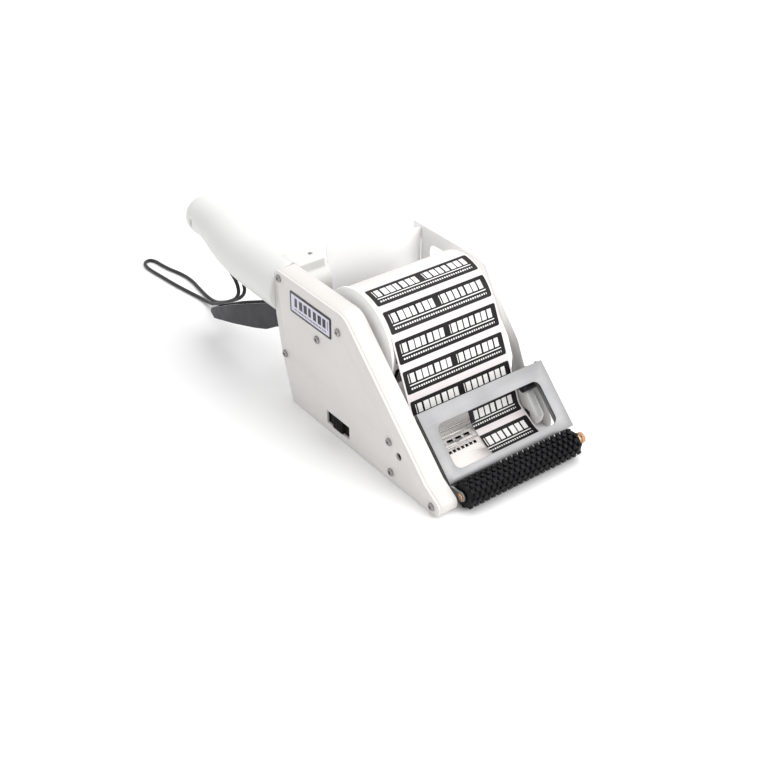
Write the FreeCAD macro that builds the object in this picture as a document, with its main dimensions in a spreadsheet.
"""Hand-held label applicator: gear case, handle, trigger, label roll, front bracket and strap.

Frame: origin on the table under the middle of the base, +X to the right side frame,
-Y to the application roller, +Y to the handle, +Z up. Millimetres.
"""
import FreeCAD, Part
import math
import os
import re

import Sketcher
from FreeCAD import Placement, Rotation, Vector

os.makedirs("parts", exist_ok=True)
doc = FreeCAD.newDocument("label_applicator")

# ---------------------------------------------------------------- driving dimensions
SIZES = {
    # overall width: outer faces of the left side plate and the right side frame
    "half_width": 74, "plate_thick": 2.5, "case_depth": 15.5, "case_wall": 2.5,
    "frame_thick": 3,
    # outline that the side plate and the gear case share
    "toe_y": -97.5, "toe_z": 10.6, "slope_low_y": -80.1, "slope_low_z": 20.6,
    "slope_top_y": 20.3, "case_top_z": 117.2, "case_back_y": 114.5, "case_waist_z": 77,
    "case_knee_y": 107, "case_knee_z": 40, "case_heel_y": 94.6,
    "toe_round": 6, "shoulder_round": 18, "back_round": 5,
    # slot of the side plate and its slide
    "slot_y": 29.9, "slot_z": 12.95, "slot_long": 30.4, "slot_high": 11.9,
    "knob_long": 12, "slide_gap": 0.3, "slide_plate_long": 48, "slide_plate_high": 17,
    "slide_plate_thick": 1.2, "knob_proud": 0.6,
    # screws
    "screw_head_radius": 3.2, "screw_head_high": 1.6, "screw_shank_radius": 1.7,
    # handle
    "handle_x": -57, "handle_z": 103.8, "handle_radius": 17.2, "handle_end_y": 265,
    "handle_neck_y": 238, "handle_dome": 13,
    "boss_y": 118, "boss_z": 95, "boss_radius": 18, "boss_end_x": -26.5,
    "recess_top_z": 97, "recess_end_y": 216, "recess_wide": 14,
    # trigger
    "trigger_y": 72, "trigger_z": 80, "trigger_side_x": -59.5, "trigger_wide": 11,
    "trigger_wall": 1.5, "trigger_pin_radius": 3, "running_gap": 0.05,
    "arm_long": 43.1, "arm_thick": 2, "arm_pin_radius": 2, "arm_pin_slack": 0.3,
    "spring_y": 101, "spring_low_z": 45, "spring_high_z": 66, "spring_radius": 2.5,
    # drive train
    "feed_y": -30, "feed_z": 12.5, "feed_radius": 10, "feed_shaft_radius": 3,
    "pinion_teeth": 10, "gear_module": 1, "rack_thick": 4, "rack_side_x": -62.4,
    "rack_low_z": 3.4, "tooth_wide": 1.3, "pinch_radius": 5, "pinch_gap": 0.4,
    "bearing_radius": 5,
    # label roll
    "roll_y": 33.5, "roll_z": 81.4, "roll_radius": 42.2, "roll_left_x": -47.3,
    "roll_right_x": 54.7, "core_radius": 19.2, "core_wall": 1.6, "roll_shaft_radius": 5,
    "flange_radius": 43.5, "flange_thick": 2.5, "small_flange_radius": 26,
    "shaft_knob_radius": 9, "shaft_knob_long": 7,
    # label web and what guides it
    "web_thick": 0.3, "web_turn_y": -40.9, "web_turn_z": 20, "web_low_y": -62, "web_low_z": 8,
    "peel_y": -84, "peel_z": 4, "peel_thick": 1.2, "peel_gap": 0.5,
    # front bracket
    "cover_low_y": -85.2, "cover_low_z": 15.2, "cover_angle": 44, "cover_long": 58,
    "cover_left_x": -53.3, "cover_right_x": 73, "cover_thick": 1.6,
    "window_left_x": -42, "window_right_x": 61, "window_low": 7.6, "window_high": 44.6,
    "window_round": 6, "hinge_y": -41, "hinge_z": 49.5, "hinge_radius": 2.5,
    "hinge_ear_radius": 4.3, "right_cheek_x": 65.8,
    # application roller
    "roller_y": -97, "roller_z": 11.4, "roller_radius": 11.4, "roller_core_radius": 9,
    "roller_left_x": -51, "roller_right_x": 61, "axle_radius": 2.2, "lobe_radius": 4.2,
    # base, rods, rear sheet
    "base_front_y": -18, "base_back_y": 109, "rod_radius": 4, "rear_sheet_y": 110.2,
    "rear_sheet_thick": 1.2, "rear_sheet_left_x": -26.5,
    # strap
    "strap_diameter": 3.2,
}

sheet = doc.addObject("Spreadsheet::Sheet", "Sizes")
for row, (alias, number) in enumerate(SIZES.items(), start=1):
    sheet.set(f"A{row}", alias)
    sheet.set(f"B{row}", str(number))
    sheet.setAlias(f"B{row}", alias)
doc.recompute()

NODES = {}
Y_IS_UP = "XZ_Plane"
X_IS_UP = "YZ_Plane"


# ---------------------------------------------------------------- helpers
def size(alias):
    """Value of one cell of the sheet."""
    return float(sheet.get(alias))


def bind(target, prop, item):
    """Sets a property to a number, or binds it to a formula of the sheet's aliases."""
    if isinstance(item, str):
        formula = re.sub(r"[a-z]\w*", lambda word: f"Sizes.{word.group()}", item)
        target.setExpression(prop, formula)
    else:
        target.setExpression(prop, repr(float(item)))


def node(name, feature):
    """Registers a finished sub-part under the name of its file."""
    feature.Label = name
    NODES[name] = feature
    return feature


def place(feature, x, y, z, rotation=Rotation()):
    """Places a primitive; each coordinate is a number or a formula."""
    feature.Placement = Placement(Vector(0, 0, 0), rotation)
    for axis, item in zip("xyz", (x, y, z)):
        bind(feature, f"Placement.Base.{axis}", item)


def box(name, corner, lengths):
    feature = doc.addObject("Part::Box", name)
    for prop, item in zip(("Length", "Width", "Height"), lengths):
        bind(feature, prop, item)
    place(feature, *corner)
    return feature


def rod(name, left, long, y, z, radius):
    """Cylinder along X."""
    feature = doc.addObject("Part::Cylinder", name)
    bind(feature, "Radius", radius)
    bind(feature, "Height", long)
    place(feature, left, y, z, Rotation(Vector(0, 1, 0), 90))
    return feature


def upright_rod(name, x, y, low, high, radius):
    """Cylinder along Z."""
    feature = doc.addObject("Part::Cylinder", name)
    bind(feature, "Radius", radius)
    bind(feature, "Height", high)
    place(feature, x, y, low)
    return feature


def cut(name, base, tool):
    feature = doc.addObject("Part::Cut", name)
    feature.Base = base
    feature.Tool = tool
    return feature


def fuse(name, shapes):
    feature = doc.addObject("Part::MultiFuse", name)
    feature.Shapes = shapes
    return feature


def group(name, shapes):
    feature = doc.addObject("Part::Compound", name)
    feature.Links = shapes
    return feature


def tube(name, left, long, y, z, radius, bore):
    """Hollow cylinder along X."""
    outside = rod(f"{name}_outside", left, long, y, z, radius)
    inside = rod(f"{name}_inside", left, long, y, z, bore)
    return cut(name, outside, inside)


def origin_plane(body, role):
    return next(item for item in body.Origin.OriginFeatures if item.Role == role)


def new_sketch(body, name, role, offset):
    """Sketch on one of the body's own planes, moved along the plane's normal."""
    sketch = body.newObject("Sketcher::SketchObject", name)
    sketch.AttachmentSupport = [(origin_plane(body, role), "")]
    sketch.MapMode = "FlatFace"
    bind(sketch, "AttachmentOffset.Base.z", offset)
    return sketch


def pin_point(sketch, geometry, end, x, y):
    """Fixes one point of a sketch at two coordinates."""
    for kind, item in (("DistanceX", x), ("DistanceY", y)):
        index = sketch.addConstraint(Sketcher.Constraint(kind, -1, 1, geometry, end, 1.0))
        bind(sketch, f"Constraints[{index}]", item)


def polygon(sketch, points):
    """Closed polygon whose corners are pairs of numbers or formulas."""
    count = len(points)
    ring = [Vector(math.cos(turn), math.sin(turn), 0)
            for turn in (2 * math.pi * index / count for index in range(count))]
    first = sketch.GeometryCount
    for index in range(count):
        sketch.addGeometry(Part.LineSegment(ring[index], ring[(index + 1) % count]), False)
    for index in range(count):
        following = first + (index + 1) % count
        sketch.addConstraint(Sketcher.Constraint("Coincident", first + index, 2, following, 1))
    for index, (x, y) in enumerate(points):
        pin_point(sketch, first + index, 1, x, y)


def circle(sketch, x, y, radius):
    index = sketch.addGeometry(Part.Circle(Vector(0, 0, 0), Vector(0, 0, 1), 1), False)
    pin_point(sketch, index, 3, x, y)
    constraint = sketch.addConstraint(Sketcher.Constraint("Radius", index, 1.0))
    bind(sketch, f"Constraints[{constraint}]", radius)


def pad(body, sketch, long, reverse=False):
    """Adds a sketch to the body along (or against) its normal, and checks that it grew."""
    before = 0 if body.Shape.isNull() else body.Shape.Volume
    feature = body.newObject("PartDesign::Pad", f"{body.Name}_pad")
    feature.Profile = sketch
    bind(feature, "Length", long)
    feature.Reversed = reverse
    doc.recompute()
    if not body.Shape.Volume > before + 0.01:
        raise ValueError(f"{body.Name}: a pad added nothing")
    return feature


def pocket(body, sketch, deep, reverse=False):
    """Cuts a sketch out of the body against (or along) its normal, and checks that it cut."""
    before = body.Shape.Volume
    feature = body.newObject("PartDesign::Pocket", f"{body.Name}_pocket")
    feature.Profile = sketch
    bind(feature, "Length", deep)
    feature.Reversed = reverse
    doc.recompute()
    if not 0 < body.Shape.Volume < before - 0.01:
        raise ValueError(f"{body.Name}: a pocket removed nothing")
    return feature


def round_corners(body, points, radius):
    """Fillets the edges along X that stand at the given (y, z) corners."""
    wanted = []
    for index, edge in enumerate(body.Shape.Edges, start=1):
        ends = [vertex.Point for vertex in edge.Vertexes]
        if len(ends) < 2 or abs(ends[0].x - ends[1].x) < 0.5:
            continue
        for y, z in points:
            if all(math.hypot(end.y - y, end.z - z) < 0.05 for end in ends):
                wanted.append(f"Edge{index}")
    if len(wanted) != len(points):
        raise ValueError(f"{body.Name}: found {len(wanted)} of {len(points)} corners")
    base = body.Tip
    feature = body.newObject("PartDesign::Fillet", f"{body.Name}_round")
    feature.Base = (base, wanted)
    bind(feature, "Radius", radius)
    doc.recompute()
    body.Tip = feature


def profile_body(name, left, long, points):
    """Body padded along X from an outline in the (Y, Z) plane."""
    body = doc.addObject("PartDesign::Body", name)
    sketch = new_sketch(body, f"{name}_outline", X_IS_UP, left)
    polygon(sketch, points)
    pad(body, sketch, long)
    return body


def drill(body, holes, left, long):
    """Round holes along X, from the left coordinate over a length."""
    sketch = new_sketch(body, f"{body.Name}_holes", X_IS_UP, left)
    for y, z, radius in holes:
        circle(sketch, y, z, radius)
    pocket(body, sketch, long, reverse=True)


def cut_outline(body, points, left, long):
    """Cuts an outline in the (Y, Z) plane out of the body, along X."""
    sketch = new_sketch(body, f"{body.Name}_opening", X_IS_UP, left)
    polygon(sketch, points)
    pocket(body, sketch, long, reverse=True)


def band(points, offset, thick):
    """Outline of a strip that follows a route at a distance to its left."""
    def shifted(distance):
        moved = []
        for index, point in enumerate(points):
            normals = []
            if index:
                normals.append(left_normal(points[index - 1], point))
            if index < len(points) - 1:
                normals.append(left_normal(point, points[index + 1]))
            middle = sum(normals, Vector()).normalize()
            moved.append(point + middle * (distance / middle.dot(normals[0])))
        return moved
    corners = shifted(offset) + shifted(offset + thick)[::-1]
    return [(corner.x, corner.y) for corner in corners]


def left_normal(start, end):
    run = (end - start).normalize()
    return Vector(-run.y, run.x, 0)


# ---------------------------------------------------------------- places used several times
OUTER_LEFT_X = -size("half_width")
CASE_LEFT_X = OUTER_LEFT_X + size("plate_thick")
CASE_RIGHT_X = CASE_LEFT_X + size("case_depth")
WALL_X = CASE_RIGHT_X - size("case_wall")
FRAME_X = size("half_width") - size("frame_thick")
SPAN = FRAME_X - CASE_RIGHT_X

CASE_OUTLINE = [
    ("toe_y", 0), ("toe_y", "toe_z"), ("slope_low_y", "slope_low_z"),
    ("slope_top_y", "case_top_z"), ("case_back_y", "case_top_z"),
    ("case_back_y", "case_waist_z"), ("case_knee_y", "case_knee_z"), ("case_heel_y", 0),
]
SCREW_PLACES = [(-89, 7), (-37.1, 35.7), (-39.7, 8.8), (27.5, 100.3), (55.9, 79.7),
                (102.8, 43.1), (108, 111)]


def round_case(body):
    round_corners(body, [(size("toe_y"), 0), (size("toe_y"), size("toe_z"))], "toe_round")
    round_corners(body, [(size("slope_top_y"), size("case_top_z"))], "shoulder_round")
    round_corners(body, [(size("case_back_y"), size("case_top_z"))], "back_round")


# ---------------------------------------------------------------- left side: plate and case
def make_side_plate():
    body = profile_body("side_plate", OUTER_LEFT_X, "plate_thick", CASE_OUTLINE)
    round_case(body)
    low_y = size("slot_y") - size("slot_long") / 2
    high_y = size("slot_y") + size("slot_long") / 2
    low_z = size("slot_z") - size("slot_high") / 2
    high_z = size("slot_z") + size("slot_high") / 2
    slot = [(low_y, low_z), (high_y, low_z), (high_y, high_z), (low_y, high_z)]
    cut_outline(body, slot, OUTER_LEFT_X, "plate_thick")
    holes = [(y, z, "screw_shank_radius") for y, z in SCREW_PLACES]
    drill(body, holes + [(-48.8, 28.6, 3.2)], OUTER_LEFT_X, "plate_thick")
    node("side_plate", body)


def make_gear_case():
    body = profile_body("gear_case", CASE_LEFT_X, "case_depth", CASE_OUTLINE)
    round_case(body)
    before = body.Shape.Volume
    solid = body.Tip
    shell = body.newObject("PartDesign::Thickness", "gear_case_shell")
    open_face = next(f"Face{index}" for index, face in enumerate(body.Shape.Faces, start=1)
                     if abs(face.CenterOfMass.x - CASE_LEFT_X) < 0.01)
    shell.Base = (solid, [open_face])
    bind(shell, "Value", "case_wall")
    shell.Reversed = True
    shell.Join = 1
    doc.recompute()
    body.Tip = shell
    if not body.Shape.Volume < 0.5 * before:
        raise ValueError("the gear case isn't hollow")
    lever_gap = [(100, 50), (120, 50), (120, "recess_top_z"), (100, "recess_top_z")]
    cut_outline(body, lever_gap, CASE_LEFT_X, WALL_X - CASE_LEFT_X)
    pinch_y = size("feed_y") + size("feed_radius") + size("pinch_radius") + size("pinch_gap")
    drill(body, [("feed_y", "feed_z", "bearing_radius"), (pinch_y, "feed_z", 2.05)],
          WALL_X - 1, size("case_wall") + 2)
    node("gear_case", body)


def make_plate_screws():
    screws = []
    for index, (y, z) in enumerate(SCREW_PLACES):
        head = rod(f"screw_head_{index}", "-half_width - screw_head_high", "screw_head_high",
                   y, z, "screw_head_radius")
        shank = rod(f"screw_shank_{index}", "-half_width", "plate_thick", y, z,
                    "screw_shank_radius")
        screws.append(fuse(f"plate_screw_{index}", [head, shank]))
    node("plate_screws", group("plate_screws", screws))


def make_name_plate():
    node("name_plate", box("name_plate", ("-half_width - 0.6", 36, 89.2), (0.6, 55.8, 18.8)))


def make_pitch_slide():
    """Ribbed slide behind the slot of the side plate."""
    inner_x = CASE_LEFT_X + size("slide_gap")
    back = box("slide_back", (inner_x, "slot_y - slide_plate_long / 2",
                              "slot_z - slide_plate_high / 2"),
               ("slide_plate_thick", "slide_plate_long", "slide_plate_high"))
    knob = box("slide_knob", ("-half_width - knob_proud", "slot_y - knob_long / 2",
                              "slot_z - slot_high / 2 + slide_gap"),
               (inner_x + size("half_width") + size("knob_proud"), "knob_long",
                "slot_high - 2 * slide_gap"))
    node("pitch_slide", fuse("pitch_slide", [back, knob]))


# ---------------------------------------------------------------- right side and base
def make_right_frame():
    front = [(-62, 0), (-62, 8), (-44.9, 48.4), (-37.6, 48.5), (-27, 41.5), (-17, 62), (4, 86),
             (27, 112), (44, 114)]
    back = [(120, 114), (120, 104), ("base_back_y", 101), ("base_back_y", 0)]
    body = profile_body("right_frame", FRAME_X, "frame_thick", front + back)
    ear = new_sketch(body, "hinge_ear", X_IS_UP, FRAME_X)
    circle(ear, "hinge_y", "hinge_z", "hinge_ear_radius - 0.3")
    pad(body, ear, "frame_thick")
    opening = [(-12, 27), (97, 27), (97, 100.5), (34, 100.5), (12, 80), (-5, 60), (-12, 44)]
    cut_outline(body, opening, FRAME_X, "frame_thick")
    round_corners(body, [(-12, 27), (97, 27), (97, 100.5), (34, 100.5)], 6)
    round_corners(body, [(-62, 0), (-17, 62), (27, 112)], 4)
    pinch_y = size("feed_y") + size("feed_radius") + size("pinch_radius") + size("pinch_gap")
    drill(body, [("feed_y", "feed_z", "bearing_radius"), (pinch_y, "feed_z", 2.05),
                 ("hinge_y", "hinge_z", "hinge_radius")], FRAME_X, "frame_thick")
    node("right_frame", body)


def make_base():
    back = "base_back_y - base_front_y"
    node("base_plate", box("base_plate", (CASE_RIGHT_X, "base_front_y", 0), (SPAN, back, 2.5)))
    places = [(-46, 10.4), (86, 14)]
    rods = [rod(f"tie_rod_{index}", CASE_RIGHT_X, SPAN, y, z, "rod_radius")
            for index, (y, z) in enumerate(places)]
    node("tie_rods", group("tie_rods", rods))
    heads = [rod(f"frame_screw_{index}", "half_width", "screw_head_high", y, z,
                 "screw_head_radius") for index, (y, z) in enumerate(places)]
    node("frame_screws", group("frame_screws", heads))


def make_rear_sheet():
    """Thin sheet between the handle boss and the right frame, with a sagging top edge."""
    body = doc.addObject("PartDesign::Body", "rear_sheet")
    sketch = new_sketch(body, "rear_sheet_outline", Y_IS_UP, "-rear_sheet_y")
    left = Vector(size("rear_sheet_left_x"), 126, 0)
    middle = Vector(22, 115.4, 0)
    right = Vector(FRAME_X, 111.5, 0)
    foot_left = Vector(left.x, 2.5, 0)
    foot_right = Vector(right.x, 2.5, 0)
    sketch.addGeometry(Part.Arc(left, middle, right), False)
    sketch.addGeometry(Part.LineSegment(right, foot_right), False)
    sketch.addGeometry(Part.LineSegment(foot_right, foot_left), False)
    sketch.addGeometry(Part.LineSegment(foot_left, left), False)
    pad(body, sketch, "rear_sheet_thick")
    node("rear_sheet", body)


# ---------------------------------------------------------------- handle
def round_end(body):
    """Domes the free end of the grip."""
    base = body.Tip
    end_edge = next(f"Edge{index}" for index, edge in enumerate(body.Shape.Edges, start=1)
                    if abs(edge.BoundBox.YMin - size("handle_end_y")) < 0.01)
    dome = body.newObject("PartDesign::Fillet", "handle_dome_round")
    dome.Base = (base, [end_edge])
    bind(dome, "Radius", "handle_dome")
    doc.recompute()


# stations of the flare: distance from the front, height of the middle, radius
FLARE = [("handle_neck_y", "handle_z", "handle_radius"), (226, 102.2, 18.6), (213, 99.8, 20.6),
         (200, 97.6, 22), (184, 95.4, 22.5), (166, 94, 22.6), (140, 93.8, 22.6),
         ("case_back_y", 94, 22.6)]


def make_handle():
    """Round grip that flares into a boss behind the roll, recessed for the trigger."""
    body = doc.addObject("PartDesign::Body", "handle")
    grip = new_sketch(body, "grip_outline", Y_IS_UP, "-handle_neck_y")
    circle(grip, "handle_x", "handle_z", "handle_radius")
    pad(body, grip, "handle_end_y - handle_neck_y", reverse=True)
    round_end(body)
    sections = []
    for index, (y, z, radius) in enumerate(FLARE):
        section = new_sketch(body, f"handle_section_{index}", Y_IS_UP, f"0 - {y}")
        circle(section, "handle_x", z, radius)
        sections.append(section)
    doc.recompute()
    loft = body.newObject("PartDesign::AdditiveLoft", "handle_flare")
    loft.Profile = sections[0]
    loft.Sections = sections[1:]
    loft.Ruled = True
    doc.recompute()
    boss = new_sketch(body, "boss_outline", X_IS_UP, CASE_RIGHT_X)
    circle(boss, "boss_y", "boss_z", "boss_radius")
    pad(body, boss, f"boss_end_x - {CASE_RIGHT_X}".replace("- -", "+ "))
    block = new_sketch(body, "block_outline", X_IS_UP, CASE_RIGHT_X)
    polygon(block, [(106, 104), (129, 104), (129, "case_top_z"), (106, "case_top_z")])
    pad(body, block, 26)
    recess = new_sketch(body, "trigger_recess", X_IS_UP, "trigger_side_x + 1.5")
    polygon(recess, [("case_back_y", 60), ("recess_end_y", 60), ("recess_end_y", "recess_top_z"),
                     ("case_back_y", "recess_top_z")])
    pocket(body, recess, "recess_wide")
    strap_hole = new_sketch(body, "strap_hole", X_IS_UP, -68)
    polygon(strap_hole, [(247, 99), (249.5, 99), (249.5, 107), (247, 107)])
    pocket(body, strap_hole, 10)
    node("handle", body)


# ---------------------------------------------------------------- trigger and drive train
def make_trigger():
    """Channel-shaped lever, open on top, with the arm that pulls the rack."""
    outline = [("trigger_y - 6", 84), ("trigger_y", 86.5), (118, 82), (131.2, 76.2),
               (191.1, 46.6), (229.6, 25.2), (231.5, 21), (225.9, 16.3), (193.4, 26.6),
               (156.4, 40), (137.1, 48.1), (120.8, 58.5), (100, 69), ("trigger_y", 73.5),
               ("trigger_y - 6", 76)]
    left = "trigger_side_x - trigger_wide"
    body = profile_body("trigger_lever", left, "trigger_wide", outline)
    inside = [("trigger_y - 10", 60), (90, 60), (90, 76.5), (100.5, 70.7), (121.6, 60.2),
              (138, 49.8), (157, 41.6), (194, 28.2), (224, 18.8), (240, 19), (240, 110),
              ("trigger_y - 10", 110)]
    cut_outline(body, inside, "trigger_side_x - trigger_wide + trigger_wall",
                "trigger_wide - 2 * trigger_wall")
    tip_wall = new_sketch(body, "tip_wall", X_IS_UP, "trigger_side_x - trigger_wide")
    polygon(tip_wall, [(224.5, 17), (225.9, 16.3), (231.5, 21), (229.6, 25.2), (227.8, 26.2),
                       (229.4, 21.5)])
    pad(body, tip_wall, "trigger_wide")
    drill(body, [("trigger_y", "trigger_z", "trigger_pin_radius + running_gap")],
          "trigger_side_x - trigger_wide", "trigger_wide")
    node("trigger_lever", body)

    arm_x = "trigger_side_x - trigger_wide + trigger_wall + 0.1"
    low_z = "trigger_z - arm_long"
    arm = profile_body("trigger_arm", arm_x, "arm_thick",
                       [("trigger_y - 6", "trigger_z + 5"), ("trigger_y - 4", f"{low_z} - 4"),
                        ("trigger_y + 4", f"{low_z} - 4"), ("trigger_y + 6", "trigger_z + 5")])
    drill(arm, [("trigger_y", "trigger_z", "trigger_pin_radius + running_gap"),
                ("trigger_y", low_z, "arm_pin_radius")], arm_x, "arm_thick")
    node("trigger_arm", arm)
    node("arm_pin", rod("arm_pin", arm_x, "arm_thick + rack_thick + 1.4", "trigger_y", low_z,
                        "arm_pin_radius"))
    node("trigger_pin", rod("trigger_pin", CASE_LEFT_X, WALL_X - CASE_LEFT_X, "trigger_y",
                            "trigger_z", "trigger_pin_radius"))


def make_return_spring():
    x = -65
    outside = upright_rod("spring_outside", x, "spring_y", "spring_low_z",
                          "spring_high_z - spring_low_z", "spring_radius")
    inside = upright_rod("spring_inside", x, "spring_y", "spring_low_z",
                         "spring_high_z - spring_low_z", "spring_radius - 0.8")
    node("return_spring", cut("return_spring", outside, inside))
    node("spring_post", rod("spring_post", -69, WALL_X + 69, "spring_y", "spring_low_z - 2", 2))


def make_rack():
    """Bar with teeth under the pinion and an upright whose slot takes the arm's pin."""
    module = size("gear_module")
    pitch_z = size("feed_z") - size("pinion_teeth") * module / 2
    root_z = pitch_z - 1.25 * module
    pitch = math.pi * module
    arm_y = size("trigger_y")
    low_z = size("rack_low_z")
    arm_z = size("trigger_z") - size("arm_long")
    points = [(-50, low_z), (arm_y + 7, low_z), (arm_y + 7, arm_z + 8), (arm_y - 7, arm_z + 8),
              (arm_y - 7, root_z)]
    base_half = size("tooth_wide") / 2 + 0.455 * module
    tip_half = size("tooth_wide") / 2 - 0.364 * module
    for step in range(2, -6, -1):
        middle = size("feed_y") + pitch * step
        points += [(middle + base_half, root_z), (middle + tip_half, pitch_z + module),
                   (middle - tip_half, pitch_z + module), (middle - base_half, root_z)]
    points.append((-50, root_z))
    left = size("rack_side_x") - size("rack_thick")
    body = profile_body("drive_rack", left, "rack_thick", points)
    half = size("arm_pin_radius") + size("arm_pin_slack")
    slot = [(arm_y - half, arm_z - 3), (arm_y + half, arm_z - 3), (arm_y + half, arm_z + 4.5),
            (arm_y - half, arm_z + 4.5)]
    cut_outline(body, slot, left, "rack_thick")
    node("drive_rack", body)


def make_pinion():
    """Clutch pinion: straight-flanked teeth, one gap standing over a rack tooth."""
    module = size("gear_module")
    teeth = int(size("pinion_teeth"))
    pitch_radius = teeth * module / 2
    tip, root = pitch_radius + 0.95 * module, pitch_radius - 1.2 * module
    half_turn = size("tooth_wide") / 2 / pitch_radius
    points = []
    for index in range(teeth):
        middle = math.radians(-90) + math.pi * (2 * index + 1) / teeth
        for radius, share in ((root, 1.55), (pitch_radius, 1.0), (tip, 0.42)):
            points.append((radius, middle - half_turn * share))
        for radius, share in ((tip, 0.42), (pitch_radius, 1.0), (root, 1.55)):
            points.append((radius, middle + half_turn * share))
    centre = (size("feed_y"), size("feed_z"))
    outline = [(centre[0] + radius * math.cos(turn), centre[1] + radius * math.sin(turn))
               for radius, turn in points]
    body = profile_body("clutch_pinion", "rack_side_x - rack_thick - 0.6", "rack_thick + 1.2",
                        outline)
    drill(body, [("feed_y", "feed_z", "feed_shaft_radius")], "rack_side_x - rack_thick - 0.6",
          "rack_thick + 1.2")
    node("clutch_pinion", body)


def make_feed_rollers():
    left, long = CASE_LEFT_X + 1, FRAME_X - CASE_LEFT_X + 1
    node("feed_shaft", rod("feed_shaft", left, long, "feed_y", "feed_z", "feed_shaft_radius"))
    node("feed_roller", tube("feed_roller", -50, 102, "feed_y", "feed_z", "feed_radius",
                             "feed_shaft_radius"))
    bearings = [tube(f"feed_bearing_{index}", start, deep, "feed_y", "feed_z",
                     "bearing_radius", "feed_shaft_radius + running_gap")
                for index, (start, deep) in enumerate(((WALL_X, "case_wall"),
                                                       (FRAME_X, "frame_thick")))]
    node("feed_bearings", group("feed_bearings", bearings))
    pinch_y = "feed_y + feed_radius + pinch_radius + pinch_gap"
    barrel = rod("pinch_barrel", -50, 102, pinch_y, "feed_z", "pinch_radius")
    spindle = rod("pinch_spindle", WALL_X + 0.5, FRAME_X + 2 - WALL_X, pinch_y, "feed_z", 2)
    node("pinch_roller", fuse("pinch_roller", [barrel, spindle]))


# ---------------------------------------------------------------- label roll
def make_label_roll():
    knob_x = "roll_right_x + flange_thick + 1.5"
    node("roll_shaft", rod("roll_shaft", CASE_RIGHT_X, f"{knob_x} + shaft_knob_long + 56",
                           "roll_y", "roll_z", "roll_shaft_radius"))
    node("shaft_knob", tube("shaft_knob", knob_x, "shaft_knob_long", "roll_y", "roll_z",
                            "shaft_knob_radius", "roll_shaft_radius"))
    node("label_roll", tube("label_roll", "roll_left_x", "roll_right_x - roll_left_x", "roll_y",
                            "roll_z", "roll_radius", "core_radius"))
    node("roll_core", tube("roll_core", "roll_left_x - 1", "roll_right_x - roll_left_x + 2",
                           "roll_y", "roll_z", "core_radius", "core_radius - core_wall"))
    bore = "roll_shaft_radius + running_gap"
    sides = (("left", "roll_left_x - 1 - flange_thick", "roll_left_x - 1 - flange_thick",
              "flange_radius"),
             ("right", "roll_right_x + 1", "roll_right_x + 1 - 30", "small_flange_radius"))
    for side, flange_x, sleeve_x, radius in sides:
        flange = rod(f"{side}_flange", flange_x, "flange_thick", "roll_y", "roll_z", radius)
        sleeve = rod(f"{side}_sleeve", sleeve_x, "flange_thick + 30", "roll_y", "roll_z",
                     "core_radius - core_wall")
        solid = fuse(f"{side}_hub_solid", [flange, sleeve])
        hole = rod(f"{side}_hub_bore", sleeve_x, "flange_thick + 30", "roll_y", "roll_z", bore)
        node(f"{side}_hub", cut(f"{side}_hub", solid, hole))


# ---------------------------------------------------------------- label web and guides
def web_route():
    """Corners of the web in (Y, Z), from the roll down to the peel edge."""
    centre = Vector(size("roll_y"), size("roll_z"), 0)
    turn = Vector(size("web_turn_y"), size("web_turn_z"), 0)
    reach = centre - turn
    clear = size("roll_radius") + 0.35
    lean = math.asin(clear / reach.Length)
    angle = math.atan2(reach.y, reach.x) + lean
    run = math.sqrt(reach.Length ** 2 - clear ** 2)
    start = turn + Vector(math.cos(angle), math.sin(angle), 0) * run
    low = Vector(size("web_low_y"), size("web_low_z"), 0)
    edge = Vector(size("peel_y"), size("peel_z"), 0)
    return [start, turn, low, edge]


def make_web():
    """Label liner: off the roll, over the peel edge and back to the feed roller."""
    route = web_route()
    edge = route[-1]
    route += [edge + Vector(-1.6, -0.9, 0), edge + Vector(-1.4, -2.4, 0),
              edge + Vector(0.6, -2.9, 0), Vector(-34, 1.3, 0), Vector(-27.5, 1.9, 0)]
    outline = band(route, 0, -size("web_thick"))
    node("label_web", profile_body("label_web", "roll_left_x", "roll_right_x - roll_left_x",
                                   outline))


def make_guides():
    start, turn, low, edge = web_route()
    upper = turn + (start - turn).normalize() * 18
    outline = band([upper, turn, low, edge], size("peel_gap"), size("peel_thick"))
    node("peel_plate", profile_body("peel_plate", -50, 104.5, outline))
    along = (start - turn).normalize()
    guide = [turn + along * 2, turn + along * 24, Vector(-38.5, 45, 0)]
    whole = [low + (edge - low) * 0.7, low, turn] + guide[1:]
    node("guide_plate", profile_body("guide_plate", -46, 48, band(whole, 3, 1)))
    node("guide_strip", profile_body("guide_strip", 2, 4, band(guide, 2.5, 2)))
    node("guide_shaft", rod("guide_shaft", 55, FRAME_X - 55, -42, 34, 3.5))
    edge_guide = [(-36.5, 30), (-45.5, 32), (-61, 15.5), (-58, 6), (-52, 6), (-51, 16), (-38, 17)]
    node("edge_guide", profile_body("edge_guide", 56, 9, edge_guide))


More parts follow.
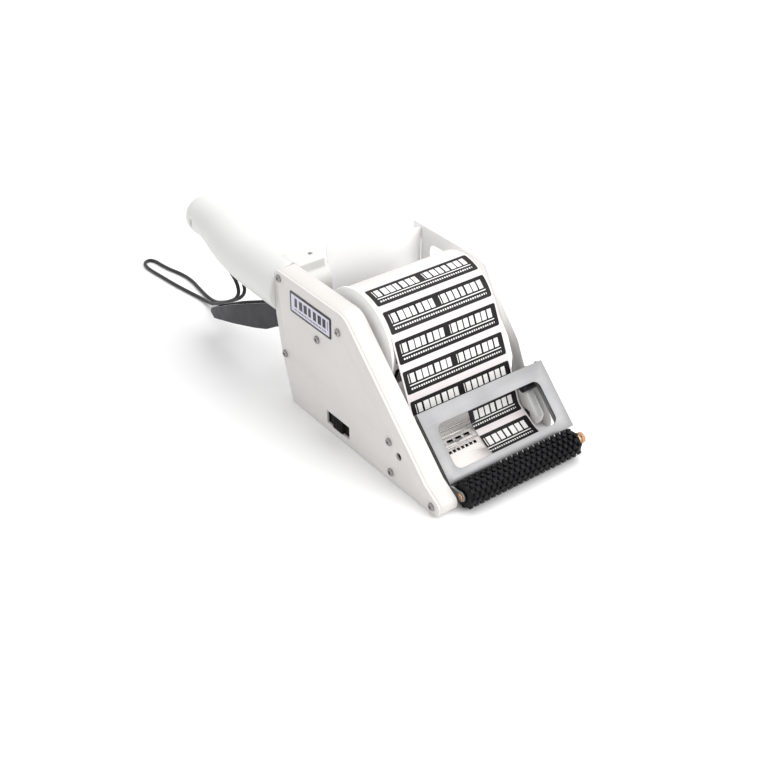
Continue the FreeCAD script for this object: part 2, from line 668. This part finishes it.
# ---------------------------------------------------------------- front bracket
def make_cover():
    """Sloping sheet with a round-cornered window, built flat and then tilted."""
    body = doc.addObject("PartDesign::Body", "front_cover")
    sketch = new_sketch(body, "cover_outline", "XY_Plane", 0)
    polygon(sketch, [("cover_left_x", 0), ("cover_right_x", 0), ("cover_right_x", "cover_long"),
                     ("cover_left_x", "cover_long")])
    pad(body, sketch, "cover_thick", reverse=True)
    opening = new_sketch(body, "cover_window", "XY_Plane", 0)
    polygon(opening, [("window_left_x", "window_low"), ("window_right_x", "window_low"),
                      ("window_right_x", "window_high"), ("window_left_x", "window_high")])
    pocket(body, opening, "cover_thick")
    upright = [f"Edge{index}" for index, edge in enumerate(body.Shape.Edges, start=1)
               if abs(edge.Vertexes[0].Z - edge.Vertexes[-1].Z) > 0.5
               and size("window_left_x") - 1 < edge.CenterOfMass.x < size("window_right_x") + 1]
    flat_cover = body.Tip
    corners = body.newObject("PartDesign::Fillet", "window_corners")
    corners.Base = (flat_cover, upright)
    bind(corners, "Radius", "window_round")
    doc.recompute()
    body.Tip = corners
    tilt = Rotation(Vector(1, 0, 0), size("cover_angle"))
    place(body, 0, "cover_low_y", "cover_low_z", tilt)
    node("front_cover", body)


def cover_point(along, deep):
    """(y, z) of a point of the cover: distance up its slope, and depth behind its face."""
    lean = math.radians(size("cover_angle"))
    y = size("cover_low_y") + along * math.cos(lean) + deep * math.sin(lean)
    z = size("cover_low_z") + along * math.sin(lean) - deep * math.cos(lean)
    return y, z


def make_cheeks():
    thick = size("cover_thick")
    outline = [cover_point(0, thick), cover_point(58, thick), cover_point(57, 12),
               cover_point(0, 12), (-96, 7.3), (-98, 15.5)]
    places = (("left_cheek", size("cover_left_x")), ("right_cheek", size("right_cheek_x")))
    for name, left in places:
        body = profile_body(name, left, "cover_thick", outline)
        lobe = new_sketch(body, f"{name}_lobe", X_IS_UP, left)
        circle(lobe, "roller_y", "roller_z", "lobe_radius")
        pad(body, lobe, "cover_thick")
        drill(body, [("hinge_y", "hinge_z", size("hinge_radius") + 0.04),
                     ("roller_y", "roller_z", "axle_radius")], left, "cover_thick")
        node(name, body)
    node("hinge_rod", rod("hinge_rod", CASE_RIGHT_X, "half_width + 56", "hinge_y", "hinge_z",
                          "hinge_radius"))


def make_roller():
    y, z = "roller_y", "roller_z"
    node("roller_axle", rod("roller_axle", "cover_left_x - 1.6", "cover_right_x - cover_left_x",
                            y, z, "axle_radius"))
    nut_x = "right_cheek_x + cover_thick"
    washer = tube("axle_washer", "right_cheek_x - 1.4", 1.4, y, z, 5, "axle_radius")
    nut = tube("axle_nut_body", nut_x, 3.4, y, z, 4.6, "axle_radius")
    bush = tube("axle_bush", "cover_left_x - 1.4", 1.4, y, z, 3.2, "axle_radius")
    node("axle_brass", group("axle_brass", [washer, nut, bush]))
    node("roller_core", tube("roller_core", "roller_left_x", "roller_right_x - roller_left_x",
                             y, z, "roller_core_radius", "axle_radius + running_gap"))
    node("application_roller", tube("application_roller", "roller_left_x",
                                    "roller_right_x - roller_left_x", y, z, "roller_radius",
                                    "roller_core_radius"))


# ---------------------------------------------------------------- strap
STRAP_ROUTE = [
    (-54.0, 234.8, 80.0), (-53.6, 231.0, 68.5), (-52.9, 222.5, 60.0), (-52.4, 213.0, 53.5),
    (-52.1, 209.8, 43.5), (-51.8, 217.5, 33.0), (-51.2, 235.5, 21.5), (-50.4, 254.5, 10.5),
    (-49.6, 269.5, 3.6), (-50.0, 286.0, 1.8), (-53.2, 302.5, 1.7), (-56.6, 322.0, 1.7),
    (-59.4, 345.0, 1.7), (-61.4, 360.5, 1.7), (-61.8, 371.5, 1.7), (-58.8, 379.8, 1.7),
    (-52.2, 381.4, 1.7), (-48.9, 375.2, 1.7), (-48.1, 366.0, 1.7), (-46.0, 353.0, 1.7),
    (-41.6, 339.0, 1.7), (-39.6, 322.0, 1.7), (-41.8, 303.5, 1.7), (-43.9, 286.0, 1.8),
    (-44.8, 269.5, 3.6), (-45.6, 254.0, 10.5), (-46.4, 236.0, 20.5), (-47.1, 214.5, 34.5),
    (-47.5, 206.5, 46.5), (-47.9, 213.0, 56.5), (-48.6, 223.5, 61.5), (-49.4, 231.0, 68.5),
    (-50.0, 234.6, 80.0),
]


def make_strap():
    """Cord of straight runs joined by tangent arcs, down to the table and back."""
    route = [Vector(*point) for point in STRAP_ROUTE]
    edges, radii = [], []
    start = route[0]
    for before, corner, after in zip(route, route[1:], route[2:]):
        inward = (corner - before).normalize()
        outward = (after - corner).normalize()
        half_turn = inward.getAngle(outward) / 2
        setback = 0.45 * min((corner - before).Length, (after - corner).Length)
        radius = setback / math.tan(half_turn)
        radii.append(radius)
        arc_start, arc_end = corner - inward * setback, corner + outward * setback
        inside = (outward - inward).normalize()
        middle = corner + inside * radius * (1 / math.cos(half_turn) - 1)
        edges.append(Part.LineSegment(start, arc_start).toShape())
        edges.append(Part.Arc(arc_start, middle, arc_end).toShape())
        start = arc_end
    edges.append(Part.LineSegment(start, route[-1]).toShape())
    path = Part.Wire(edges)
    radius = size("strap_diameter") / 2
    ring = Part.Wire([Part.makeCircle(radius, route[0], (route[1] - route[0]).normalize())])
    strap = doc.addObject("Part::Feature", "wrist_strap")
    strap.Shape = path.makePipeShell([ring], True, True)
    strap.Placement = Placement()
    expected = math.pi * radius ** 2 * path.Length
    print("strap length %.1f, smallest radii %s, volume / expected %.4f" % (
        path.Length, [round(item, 1) for item in sorted(radii)[:6]],
        strap.Shape.Volume / expected))
    node("wrist_strap", strap)
    node("strap_ferrule", upright_rod("strap_ferrule", -52, 234.7, 79.2, 9.5, 4.4))


# ---------------------------------------------------------------- build, check and export
make_side_plate()
make_gear_case()
make_plate_screws()
make_name_plate()
make_pitch_slide()
make_right_frame()
make_base()
make_rear_sheet()
make_handle()
make_trigger()
make_return_spring()
make_rack()
make_pinion()
make_feed_rollers()
make_label_roll()
make_web()
make_guides()
make_cover()
make_cheeks()
make_roller()
make_strap()
doc.recompute()

for item in doc.Objects:
    if "Invalid" in item.State or "Error" in item.State:
        raise ValueError(f"{item.Label}: {item.State}")
for name, feature in NODES.items():
    if feature.Shape.isNull() or not feature.Shape.isValid():
        raise ValueError(f"{name}: the shape is null or invalid")
for name, feature in NODES.items():
    feature.Shape.exportStep(f"parts/{name}.step")
print(f"{len(NODES)} sub-parts written")
